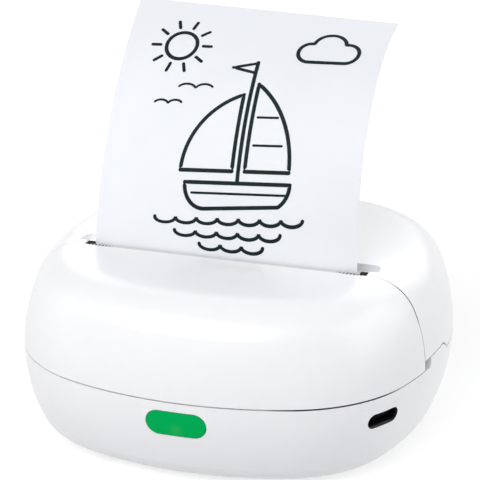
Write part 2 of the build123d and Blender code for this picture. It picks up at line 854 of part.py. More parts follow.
with BuildPart() as platen_rubber:
    rod(platen_place, platen_radius, (-platen_length / 2, platen_length / 2))
    rod(platen_place, platen_shaft_radius, (-platen_length / 2, platen_length / 2), Mode.SUBTRACT)
platen_rubber.part.label = "platen_rubber"

with BuildPart() as platen_gear:
    gear_at(platen_place, platen_teeth, platen_phase, (gear_low_x, gear_x))
    rod(platen_place, platen_shaft_radius, (gear_low_x, gear_x), Mode.SUBTRACT)
platen_gear.part.label = "platen_gear"

arm_inner = platen_length / 2 + arm_gap
arm_outer = arm_inner + arm_thickness
with BuildPart() as platen_bushings:
    for side in (-1, 1):
        x = sorted((side * arm_inner, side * (frame_outer + bushing_overhang)))
        rod(platen_place, bushing_radius, x)
        rod(platen_place, platen_shaft_radius + pin_clearance, x, Mode.SUBTRACT)
platen_bushings.part.label = "platen_bushings"

# Platen carrier: a bar under the lid with an arm at each end, and a paper guide at each slot end
carrier_low = platen_z + platen_radius + carrier_above_platen
guide_end = slot_length / 2 - guide_gap
with BuildPart() as platen_carrier:
    block((-arm_outer, arm_outer), (slot_back_y, carrier_back), (carrier_low, pad_low))
    guide_low = pad_low - guide_foot
    block((-guide_end, guide_end), (slot_back_y, slot_back_y + guide_foot), (guide_low, pad_low))
    for side in (-1, 1):
        x = sorted((side * arm_inner, side * arm_outer))
        rod(platen_place, arm_end_radius, x)
        block(x, (slot_back_y, platen_y + arm_end_radius), (platen_z, carrier_low))
        x_guide = sorted((side * (guide_end - guide_width), side * guide_end))
        y_guide = (cover_edge_y + tear_tooth + seam_gap, slot_back_y)
        block(x_guide, y_guide, (guide_low, top_z - guide_below_top))
        rod(platen_place, bushing_radius, x, Mode.SUBTRACT)
        place = (side * cradle_tab_x, carrier_screw_y)
        post(place, small_screw_radius, (carrier_low, pad_low), Mode.SUBTRACT)
platen_carrier.part.label = "platen_carrier"

with BuildPart() as carrier_screws:
    for side in (-1, 1):
        length = pad_low - carrier_low + carrier_screw_bite - carrier_screw_spare
        cap_screw((side * cradle_tab_x, carrier_screw_y), carrier_low, length, False)
carrier_screws.part.label = "carrier_screws"

# Gear train and motor
with BuildPart() as idler_gear:
    gear_at(idler_place, idler_teeth, idler_phase, (gear_low_x, gear_x))
    rod(idler_place, gear_pin_radius + pin_clearance, (gear_low_x, gear_x), Mode.SUBTRACT)
idler_gear.part.label = "idler_gear"

with BuildPart() as compound_gear:
    gear_at(compound_place, compound_small_teeth, compound_small_phase, (outer_gear_x, gear_x))
    gear_at(compound_place, compound_big_teeth, compound_big_phase, (outer_gear_low_x, outer_gear_x))
    rod(compound_place, gear_pin_radius + pin_clearance, (outer_gear_low_x, gear_x), Mode.SUBTRACT)
compound_gear.part.label = "compound_gear"

with BuildPart() as gear_pins:
    rod(idler_place, gear_pin_radius, (gear_low_x - shaft_overhang, -frame_inner_half))
    rod(compound_place, gear_pin_radius, (outer_gear_low_x - shaft_overhang, -frame_inner_half))
gear_pins.part.label = "gear_pins"

# The motor's can is hollow, with the rotor magnet on its shaft inside
can_face = -frame_inner_half
rotor_x = (can_face + rotor_start, can_face + rotor_start + rotor_length)
with BuildPart() as stepper_motor:
    rod(motor_place, motor_radius, (can_face, can_face + motor_length))
    rod(motor_place, motor_shaft_radius + pin_clearance, (can_face, rotor_x[0]), Mode.SUBTRACT)
    hollow = (rotor_x[0] - rotor_gap, rotor_x[1] + rotor_gap)
    rod(motor_place, rotor_radius + rotor_gap, hollow, Mode.SUBTRACT)
    for place in motor_screws_at:
        rod(place, small_screw_radius, (can_face, can_face + motor_screw_depth), Mode.SUBTRACT)
stepper_motor.part.label = "stepper_motor"

with BuildPart() as motor_screws:
    for place in motor_screws_at:
        rod(place, small_screw_radius, (-frame_outer, can_face + motor_screw_depth))
        rod(place, small_head_radius, (-frame_outer - motor_head_height, -frame_outer))
motor_screws.part.label = "motor_screws"

with BuildPart() as motor_shaft:
    rod(motor_place, motor_shaft_radius, (outer_gear_low_x - shaft_overhang, rotor_x[1]))
motor_shaft.part.label = "motor_shaft"

with BuildPart() as motor_rotor:
    rod(motor_place, rotor_radius, rotor_x)
    rod(motor_place, motor_shaft_radius, rotor_x, Mode.SUBTRACT)
motor_rotor.part.label = "motor_rotor"

with BuildPart() as motor_pinion:
    gear_at(motor_place, pinion_teeth, pinion_phase, (outer_gear_low_x, outer_gear_x))
    rod(motor_place, motor_shaft_radius, (outer_gear_low_x, outer_gear_x), Mode.SUBTRACT)
motor_pinion.part.label = "motor_pinion"

# Roll cradle: a trough with a wall at each end
cradle_low = cradle_z - cradle_radius
cradle_span = 4 * cradle_radius
with BuildPart() as roll_cradle:
    with BuildSketch(Plane.YZ.offset(-cradle_half)):
        with BuildLine():
            sweep_angle = cradle_back_angle - cradle_front_angle
            place = (roll_y, cradle_z)
            inner = CenterArc(place, cradle_radius, cradle_front_angle, sweep_angle)
            outer = CenterArc(place, cradle_radius + cradle_wall, cradle_front_angle, sweep_angle)
            Line(inner @ 0, outer @ 0)
            Line(inner @ 1, outer @ 1)
        make_face()
    extrude(amount=2 * cradle_half)
    for side in (-1, 1):
        x = sorted((side * cradle_half, side * (cradle_half + cradle_wall)))
        with BuildSketch(Plane.YZ.offset(x[0])):
            with Locations((roll_y, cradle_z)):
                Circle(cradle_radius + cradle_wall)
            with Locations((roll_y, cradle_end_top + cradle_span / 2)):
                Rectangle(cradle_span, cradle_span, mode=Mode.SUBTRACT)
            with Locations((frame_back + cradle_frame_gap - cradle_span / 2, cradle_z)):
                Rectangle(cradle_span, cradle_span, mode=Mode.SUBTRACT)
        extrude(amount=cradle_wall)
        middle = side * cradle_tab_x
        tab = (middle - cradle_tab_width / 2, middle + cradle_tab_width / 2)
        y = (roll_y + cradle_radius / 3, cradle_tab_y + cradle_tab_end)
        block(tab, y, (cradle_seat_z, cradle_seat_z + cradle_wall))
        y = (roll_y - cradle_foot_half, roll_y + cradle_foot_half)
        block(tab, y, (floor_z, cradle_low - cradle_wall / 2))
    rod((roll_y, cradle_z), cradle_radius, (-cradle_half, cradle_half), Mode.SUBTRACT)
    for side in (-1, 1):
        place = (side * cradle_tab_x, cradle_tab_y)
        post(place, small_screw_radius, (0, cradle_seat_z + 2 * cradle_wall), Mode.SUBTRACT)
roll_cradle.part.label = "roll_cradle"

with BuildPart() as chassis_screws:
    for side in (-1, 1):
        place = (side * frame_screw_x, frame_screw_y)
        cap_screw(place, frame_seat_z + frame_thickness, small_screw_bite, True)
        place = (side * cradle_tab_x, cradle_tab_y)
        cap_screw(place, cradle_seat_z + cradle_wall, small_screw_bite, True)
chassis_screws.part.label = "chassis_screws"

# Paper roll on its core
with BuildPart() as paper_roll:
    rod((roll_y, roll_z), roll_radius, (-paper_width / 2, paper_width / 2))
    rod((roll_y, roll_z), core_diameter / 2, (-paper_width / 2, paper_width / 2), Mode.SUBTRACT)
paper_roll.part.label = "paper_roll"

with BuildPart() as roll_core:
    rod((roll_y, roll_z), core_diameter / 2, (-paper_width / 2, paper_width / 2))
    rod((roll_y, roll_z), core_diameter / 2 - core_wall, (-paper_width / 2, paper_width / 2), Mode.SUBTRACT)
roll_core.part.label = "roll_core"

# Paper strip: off the roll, round the platen, up through the slot, then curling back
wrap = platen_y - paper_y
leave = roll_radius + paper_thickness / 2 + paper_clearance
centre_run = hypot(roll_y - platen_y, roll_z - platen_z)
centre_angle = degrees(atan2(roll_z - platen_z, roll_y - platen_y))
normal = 360 + centre_angle - degrees(acos((wrap - leave) / centre_run))

with BuildPart() as paper_strip:
    t = paper_thickness / 2
    with BuildSketch(Plane.YZ.offset(-paper_width / 2)):
        with BuildLine():
            inner = CenterArc(platen_place, wrap - t, 180, normal - 180)
            outer = CenterArc(platen_place, wrap + t, 180, normal - 180)
            Line((paper_y + t, top_z), inner @ 0)
            Line((paper_y - t, top_z), outer @ 0)
            roll_in = around((roll_y, roll_z), leave - t, normal)
            roll_out = around((roll_y, roll_z), leave + t, normal)
            Line(inner @ 1, roll_in)
            Line(outer @ 1, roll_out)
            Line(roll_in, roll_out)
            Line((paper_y + t, top_z), (paper_y - t, top_z))
        make_face()
    extrude(amount=paper_width)
    # Above the slot the right edge rises straight and then curls; the left edge leans at once
    with BuildSketch(Plane.YZ.offset(-paper_width / 2)):
        with BuildLine():
            lean_place = (paper_y + strip_left_lean, top_z)
            lean_end = 180 - strip_left_turn
            curl_place = around(lean_place, strip_left_lean - strip_left_curl, lean_end)
            curl_length = strip_left_length - radians(strip_left_turn) * strip_left_lean
            curl_angle = degrees(curl_length / strip_left_curl)
            for r in (t, -t):
                CenterArc(lean_place, strip_left_lean - r, 180, -strip_left_turn)
                CenterArc(curl_place, strip_left_curl - r, lean_end, -curl_angle)
            Line((paper_y + t, top_z), (paper_y - t, top_z))
            end = lean_end - curl_angle
            low, high = strip_left_curl - t, strip_left_curl + t
            Line(around(curl_place, low, end), around(curl_place, high, end))
        make_face()
    with BuildSketch(Plane.YZ.offset(paper_width / 2)):
        with BuildLine():
            curl_place = (paper_y + strip_right_curl, top_z + strip_right_rise)
            curl_angle = degrees((strip_right_length - strip_right_rise) / strip_right_curl)
            for r in (t, -t):
                Line((paper_y + r, top_z), (paper_y + r, top_z + strip_right_rise))
                CenterArc(curl_place, strip_right_curl - r, 180, -curl_angle)
            Line((paper_y + t, top_z), (paper_y - t, top_z))
            end = 180 - curl_angle
            low, high = strip_right_curl - t, strip_right_curl + t
            Line(around(curl_place, low, end), around(curl_place, high, end))
        make_face()
    loft(ruled=True)
paper_strip.part.label = "paper_strip"

# Button, its board, switch and light
with BuildPart() as power_button:
    with BuildSketch(Plane.XZ.offset(-button_flange_y)):
        with Locations((0, button_z)):
            SlotOverall(button_length, button_height)
    extrude(amount=half + cut_over + button_flange_y)
    add(pebble(-button_proud), mode=Mode.INTERSECT)
    with BuildSketch(Plane.XZ.offset(-button_flange_y - button_flange_thickness)):
        with Locations((0, button_z)):
            rim = 2 * button_flange_rim
            SlotOverall(button_length + rim, button_height + rim)
    extrude(amount=button_flange_thickness)
power_button.part.label = "power_button"

with BuildPart() as button_board:
    block(
        (-button_board_half, button_board_half),
        (button_board_y, button_board_y + button_board_thickness),
        (button_board_bottom, button_board_top),
    )
button_board.part.label = "button_board"

switch_front = button_flange_y + button_flange_thickness + button_travel + switch_cap_gap
with BuildPart() as tact_switch:
    block(
        (-switch_size / 2, switch_size / 2),
        (switch_front + switch_cap_length, button_board_y),
        (button_z - switch_size / 2, button_z + switch_size / 2),
    )
    with BuildSketch(Plane.XZ.offset(-switch_front - switch_cap_length)):
        with Locations((0, button_z)):
            Circle(switch_cap_radius)
    extrude(amount=switch_cap_length)
tact_switch.part.label = "tact_switch"

with BuildPart() as status_light:
    light_z = button_board_bottom + light_rise
    y = (button_board_y - light_size, button_board_y)
    block((-light_size, light_size), y, (light_z, light_z + light_size))
status_light.part.label = "status_light"

# Charging port: steel shell and tongue, behind a thin lip of the body
port_end = port_mouth - port_length
with BuildPart() as usb_shell:
    with BuildSketch(port_plane(port_mouth)):
        SlotOverall(port_width, port_height)
        SlotOverall(port_width - 2 * port_shell, port_height - 2 * port_shell, mode=Mode.SUBTRACT)
    extrude(amount=-port_length)
    with BuildSketch(port_plane(port_end)):
        SlotOverall(port_width, port_height)
    extrude(amount=port_back)
usb_shell.part.label = "usb_shell"

with BuildPart() as usb_tongue:
    with BuildSketch(port_plane(port_end + port_back)):
        Rectangle(tongue_width, tongue_height)
    extrude(amount=port_length - port_back - tongue_short)
usb_tongue.part.label = "usb_tongue"

# Main board, its chips and the battery
with BuildPart() as main_board:
    board_z = (board_seat_z, board_seat_z + board_thickness)
    block((board_left, board_right), (board_front, board_back), board_z)
    add(pebble(wall + board_edge_gap), mode=Mode.INTERSECT)
    for side in (-1, 1):
        place = (side * cover_post_x, cover_post_y)
        post(place, cover_post_radius + board_post_gap, (0, top_z), Mode.SUBTRACT)
    for place in (board_post_left, board_post_right):
        post(place, small_screw_radius, (0, top_z), Mode.SUBTRACT)
main_board.part.label = "main_board"

board_top = board_seat_z + board_thickness
connector_back = board_back - connector_inset
with BuildPart() as board_chips:
    for x, y, height in chips:
        block(x, y, (board_top, board_top + height))
    x = (ribbon_left - connector_over, ribbon_right + connector_over)
    block(x, (connector_back - connector_depth, connector_back), (board_top, board_top + connector_height))
board_chips.part.label = "board_chips"

# Ribbon from the head's foot down to its connector, and the motor's flat lead
with BuildPart() as head_ribbon:
    ribbon_y = head_pivot_y - head_barrel_radius - ribbon_gap - ribbon_thickness
    ribbon_z = board_top + ribbon_bend + ribbon_thickness
    ribbon_top = head_pivot_z + ribbon_rise
    bend_y = ribbon_y - ribbon_bend
    with BuildSketch(Plane.YZ.offset(ribbon_left)):
        with BuildLine():
            for r in (0, ribbon_thickness):
                Line((ribbon_y + r, ribbon_top), (ribbon_y + r, ribbon_z))
                CenterArc((bend_y, ribbon_z), ribbon_bend + r, 0, -90)
                low = ribbon_z - ribbon_bend - r
                Line((bend_y, low), (connector_back, low))
            Line((ribbon_y, ribbon_top), (ribbon_y + ribbon_thickness, ribbon_top))
            Line((connector_back, ribbon_z - ribbon_bend), (connector_back, board_top))
        make_face()
    extrude(amount=ribbon_right - ribbon_left)
head_ribbon.part.label = "head_ribbon"

with BuildPart() as motor_lead:
    lead_x = can_face + motor_length
    bend_x = lead_x + lead_run
    lead_z = board_top + lead_bend + lead_rise
    lead_foot = bend_x + lead_bend
    with BuildSketch(Plane.XZ.offset(-motor_y + motor_radius / 3)):
        with BuildLine():
            for r in (0, lead_thickness):
                Line((lead_x, lead_z + lead_bend - r), (bend_x, lead_z + lead_bend - r))
                CenterArc((bend_x, lead_z), lead_bend - r, 0, 90)
                Line((lead_foot - r, lead_z), (lead_foot - r, board_top))
            Line((lead_x, lead_z + lead_bend), (lead_x, lead_z + lead_bend - lead_thickness))
            Line((lead_foot, board_top), (lead_foot - lead_thickness, board_top))
        make_face()
    extrude(amount=lead_width)
motor_lead.part.label = "motor_lead"

# Sensor that watches the paper, on the print frame's right flange
with BuildPart() as paper_sensor:
    sensor_x = frame_inner_half - flange_reach + sensor_inset
    sensor_y = frame_back - flange_depth / 2
    sensor_z = frame_seat_z + frame_thickness
    y = (sensor_y - sensor_width / 2, sensor_y + sensor_width / 2)
    block((sensor_x, sensor_x + sensor_length), y, (sensor_z, sensor_z + sensor_height))
paper_sensor.part.label = "paper_sensor"

with BuildPart() as board_screws:
    for place in (board_post_left, board_post_right):
        cap_screw(place, board_top, board_thickness + small_screw_bite - small_screw_spare, True)
board_screws.part.label = "board_screws"

with BuildPart() as battery_cell:
    block(
        (battery_left, battery_left + battery_length),
        (battery_front, battery_front + battery_width),
        (floor_z, floor_z + battery_thickness),
    )
battery_cell.part.label = "battery_cell"

pieces = {
    "base_shell": base_shell,
    "front_cover": front_cover,
    "rear_lid": rear_lid,
    "tear_bar": tear_bar,
    "hinge_pin": hinge_pin,
    "rubber_feet": rubber_feet,
    "cover_screws": cover_screws,
    "print_frame": print_frame,
    "head_pin": head_pin,
    "head_plate": head_plate,
    "head_ceramic": head_ceramic,
    "head_springs": head_springs,
    "platen_shaft": platen_shaft,
    "platen_rubber": platen_rubber,
    "platen_gear": platen_gear,
    "platen_bushings": platen_bushings,
    "platen_carrier": platen_carrier,
    "carrier_screws": carrier_screws,
    "idler_gear": idler_gear,
    "compound_gear": compound_gear,
    "gear_pins": gear_pins,
    "stepper_motor": stepper_motor,
    "motor_screws": motor_screws,
    "motor_shaft": motor_shaft,
    "motor_rotor": motor_rotor,
    "motor_pinion": motor_pinion,
    "roll_cradle": roll_cradle,
    "chassis_screws": chassis_screws,
    "paper_roll": paper_roll,
    "roll_core": roll_core,
    "paper_strip": paper_strip,
    "power_button": power_button,
    "button_board": button_board,
    "tact_switch": tact_switch,
    "status_light": status_light,
    "usb_shell": usb_shell,
    "usb_tongue": usb_tongue,
    "main_board": main_board,
    "board_chips": board_chips,
    "board_screws": board_screws,
    "head_ribbon": head_ribbon,
    "motor_lead": motor_lead,
    "paper_sensor": paper_sensor,
    "battery_cell": battery_cell,
}
for name, piece in pieces.items():
    export_step(piece.part, f"parts/{name}.step")
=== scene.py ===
import json
from math import acos, atan2, cos, degrees, hypot, radians, sin, tau

import bmesh
import bpy
from mathutils import Matrix, Vector


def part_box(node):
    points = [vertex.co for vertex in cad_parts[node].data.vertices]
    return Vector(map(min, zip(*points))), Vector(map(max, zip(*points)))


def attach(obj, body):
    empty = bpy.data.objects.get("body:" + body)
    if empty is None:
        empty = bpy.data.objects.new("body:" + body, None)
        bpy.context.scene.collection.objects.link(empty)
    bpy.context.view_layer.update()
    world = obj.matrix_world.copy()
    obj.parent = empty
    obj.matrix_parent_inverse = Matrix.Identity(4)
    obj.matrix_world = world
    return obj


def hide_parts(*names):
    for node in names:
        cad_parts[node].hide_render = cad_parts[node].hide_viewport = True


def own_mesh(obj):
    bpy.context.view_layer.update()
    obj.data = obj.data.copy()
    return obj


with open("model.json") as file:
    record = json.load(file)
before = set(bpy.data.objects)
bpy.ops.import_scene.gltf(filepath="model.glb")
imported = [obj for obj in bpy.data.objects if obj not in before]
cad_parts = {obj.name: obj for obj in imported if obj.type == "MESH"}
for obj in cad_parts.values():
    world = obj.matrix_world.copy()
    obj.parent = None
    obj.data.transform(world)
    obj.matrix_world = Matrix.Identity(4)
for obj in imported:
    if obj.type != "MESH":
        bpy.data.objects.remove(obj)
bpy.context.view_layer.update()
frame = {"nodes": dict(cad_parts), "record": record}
nodes = frame["nodes"]
mm = 0.001

# Camera: where it stands, worked out from the outline, the seams and the slot
camera_azimuth = 17.086
camera_elevation = 19.899
camera_roll = -0.45
camera_distance = 0.47424
camera_aim_right = -0.000536
camera_aim_height = 0.03814
image_size = 480
focal_pixels = 2221.5
sensor_width = 36.0

# Lamps: name, place, size and power of each, all aimed at one point in the body
lamp_aim = (0, 0, 0.03)
lamps = (
    ("key", (-0.19, -0.62, 0.62), (0.72, 0.42), 5.75),
    ("left", (-0.75, -0.2, 0.35), (0.4, 0.5), 0.6),
    ("right", (0.74, 0.15, 0.35), (0.9, 0.62), 3.2),
    ("back", (-0.05, 0.75, 0.5), (1.2, 0.7), 3.1),
)
sky_fill = (0.95, 0.97, 1.0, 1)
sky_fill_strength = 0.2
white = (1, 1, 1, 1)

# Floor: its reach, the tone that it reflects onto the object and the tone that it shows; then its
# own brightness near the object and far away, and where the one turns into the other
floor_reach = 4.0
floor_bounce = (0.71, 0.71, 0.725, 1)
floor_shown = (0.3, 0.3, 0.3, 1)
floor_glow = (0.76, 1.0)
floor_fade = (0.25, 0.6)

# Finishes: the coat over plastics, the grain of brushed metal along its marks and across them, the pitches
# of paper windings, ribbon tracks and wires, and the dark tones, some of them painted shade
coat_roughness = 0.08
brush_along = 60
brush_across = 5200
winding_pitch = 0.24 * mm
track_pitch = 0.5 * mm
wire_pitch = 0.75 * mm
# Black is the dark plastic's own colour and also the shade painted on the tear bar's points
black = (0.004, 0.004, 0.0045)
# Shade painted into the seams and onto the wall inside the charging opening
body_seam_painted_shade = (0.12, 0.12, 0.12)
lid_seam_painted_shade = (0.3, 0.3, 0.3)
port_painted_shade = (0.02, 0.02, 0.021)

# Printed line drawing, in millimetres across the paper and up from the slot
ink_width = 0.84
fine_width = 0.5
paper_face = 0.06
ink_lift = 0.03
spot_lift = ink_lift * 1.15
sharp_turn = radians(35)

# Tear bar: pitch of its points, where along it the shade painted on them begins and is full, how deep
# behind the tips the painted shade reaches, and the part of a wave over which a point is painted dark
tear_pitch = 0.75 * mm
tear_shade_from = 24.0 * mm
tear_shade_to = 26.5 * mm
tear_shade_depth = 0.85 * mm
tear_shade_blend = 0.1 * mm
tear_shade_share = (0.25, 0.4)

# Shade painted into the seams round the body and ahead of the lid: the distances from the middle of a
# seam up to which the painted shade is full and past which there is none, and the stretches where it is
# painted, each an axis, the place where the shade begins, and the place where it is full
seam_reach = (0.16 * mm, 0.18 * mm)
body_seam = ((0, 0, 1), (0, 0, 19.1 * mm))
body_seam_shade = (
    ((1, 0, 0), 18 * mm, 24 * mm),
    ((1, 0, 0), 41 * mm, 38 * mm),
    ((0, 1, 0), -20 * mm, -26 * mm),
)
lid_seam = ((0, 1, 0), (0, -13.55 * mm, 0))
lid_seam_shade = (
    ((0, 0, 1), 29 * mm, 30.5 * mm),
    ((0, 0, 1), 37.8 * mm, 36.5 * mm),
    ((1, 0, 0), 0, 10 * mm),
)

# Charging opening, a slot with round ends, and the skin past its rim and the blend of the shade painted on
# its inner wall
port_width = 8.5 * mm
port_height = 3.15 * mm
port_skin = 0.06 * mm
port_blend = 0.01 * mm

# Paper, as it leaves the slot: the right edge first rises straight, the left edge leans at once
paper_half = 28.5
paper_y = -12.9
slot_top = 38.6
left_lean = 20.0
left_turn = radians(16.4)
left_curl = 76.0
left_length = 56.7
right_rise = 10.2
right_curl = 35.2
right_length = 60.7


def add_camera():
    """The camera, at the photograph's distance, angle and slight roll."""
    azimuth, elevation = radians(camera_azimuth), radians(camera_elevation)
    back = Vector((sin(azimuth) * cos(elevation), -cos(azimuth) * cos(elevation), sin(elevation)))
    level = Vector((cos(azimuth), sin(azimuth), 0))
    aim = level * camera_aim_right + Vector((0, 0, camera_aim_height))
    upright = back.cross(level)
    roll = radians(camera_roll)
    right = level * cos(roll) - upright * sin(roll)
    up = level * sin(roll) + upright * cos(roll)
    data = bpy.data.cameras.new("camera")
    data.sensor_width = sensor_width
    data.lens = focal_pixels / image_size * sensor_width
    data.clip_start = 0.01
    data.clip_end = 20
    camera = bpy.data.objects.new("camera", data)
    turn = Matrix((right, up, back)).transposed().to_4x4()
    camera.matrix_world = Matrix.Translation(aim + back * camera_distance) @ turn
    bpy.context.scene.collection.objects.link(camera)
    bpy.context.scene.camera = camera


def area_light(name, place, size, energy):
    """A soft rectangular lamp that faces the body."""
    data = bpy.data.lights.new(name, "AREA")
    data.shape = "RECTANGLE"
    data.size, data.size_y = size
    data.energy = energy
    lamp = bpy.data.objects.new(name, data)
    lamp.location = place
    lamp.rotation_euler = (Vector(lamp_aim) - Vector(place)).to_track_quat("-Z", "Y").to_euler()
    lamp.visible_camera = False
    bpy.context.scene.collection.objects.link(lamp)


def seen_directly(tree):
    """1 for what the camera sees itself, in a mirror or through glass, and 0 for soft light."""
    path = tree.nodes.new("ShaderNodeLightPath")
    either = tree.nodes.new("ShaderNodeMath")
    either.operation = "MAXIMUM"
    tree.links.new(path.outputs["Is Camera Ray"], either.inputs[0])
    tree.links.new(path.outputs["Is Glossy Ray"], either.inputs[1])
    every = tree.nodes.new("ShaderNodeMath")
    every.operation = "MAXIMUM"
    tree.links.new(either.outputs[0], every.inputs[0])
    tree.links.new(path.outputs["Is Transmission Ray"], every.inputs[1])
    return every.outputs[0]


def add_world():
    """White behind the object, with a weaker even light from all round."""
    world = bpy.data.worlds.new("studio")
    bpy.context.scene.world = world
    world.use_nodes = True
    tree = world.node_tree
    tree.nodes.clear()
    fill = tree.nodes.new("ShaderNodeBackground")
    fill.inputs["Color"].default_value = sky_fill
    fill.inputs["Strength"].default_value = sky_fill_strength
    plain = tree.nodes.new("ShaderNodeBackground")
    plain.inputs["Color"].default_value = white
    plain.inputs["Strength"].default_value = 1.0
    mix = tree.nodes.new("ShaderNodeMixShader")
    out = tree.nodes.new("ShaderNodeOutputWorld")
    tree.links.new(seen_directly(tree), mix.inputs[0])
    tree.links.new(fill.outputs[0], mix.inputs[1])
    tree.links.new(plain.outputs[0], mix.inputs[2])
    tree.links.new(mix.outputs[0], out.inputs["Surface"])


def add_floor():
    """A wide pale floor that keeps the object's shadow and turns white away from it."""
    mesh = bpy.data.meshes.new("floor")
    signs = ((-1, -1), (1, -1), (1, 1), (-1, 1))
    corners = [(x * floor_reach, y * floor_reach, 0) for x, y in signs]
    mesh.from_pydata(corners, [], [(0, 1, 2, 3)])
    floor = bpy.data.objects.new("floor", mesh)
    bpy.context.scene.collection.objects.link(floor)
    material = bpy.data.materials.new("floor")
    material.use_nodes = True
    tree = material.node_tree
    tree.nodes.clear()
    pale = tree.nodes.new("ShaderNodeBsdfDiffuse")
    pale.inputs["Color"].default_value = floor_bounce
    shown = tree.nodes.new("ShaderNodeBsdfDiffuse")
    shown.inputs["Color"].default_value = floor_shown
    glow = tree.nodes.new("ShaderNodeEmission")
    glow.inputs["Color"].default_value = white
    spot = tree.nodes.new("ShaderNodeTexCoord")
    away = tree.nodes.new("ShaderNodeVectorMath")
    away.operation = "LENGTH"
    fade = tree.nodes.new("ShaderNodeMapRange")
    fade.inputs["From Min"].default_value, fade.inputs["From Max"].default_value = floor_fade
    fade.inputs["To Min"].default_value, fade.inputs["To Max"].default_value = floor_glow
    tree.links.new(spot.outputs["Object"], away.inputs[0])
    tree.links.new(away.outputs["Value"], fade.inputs["Value"])
    tree.links.new(fade.outputs["Result"], glow.inputs["Strength"])
    both = tree.nodes.new("ShaderNodeAddShader")
    mix = tree.nodes.new("ShaderNodeMixShader")
    out = tree.nodes.new("ShaderNodeOutputMaterial")
    tree.links.new(shown.outputs[0], both.inputs[0])
    tree.links.new(glow.outputs[0], both.inputs[1])
    tree.links.new(seen_directly(tree), mix.inputs[0])
    tree.links.new(pale.outputs[0], mix.inputs[1])
    tree.links.new(both.outputs[0], mix.inputs[2])
    tree.links.new(mix.outputs[0], out.inputs["Surface"])
    mesh.materials.append(material)


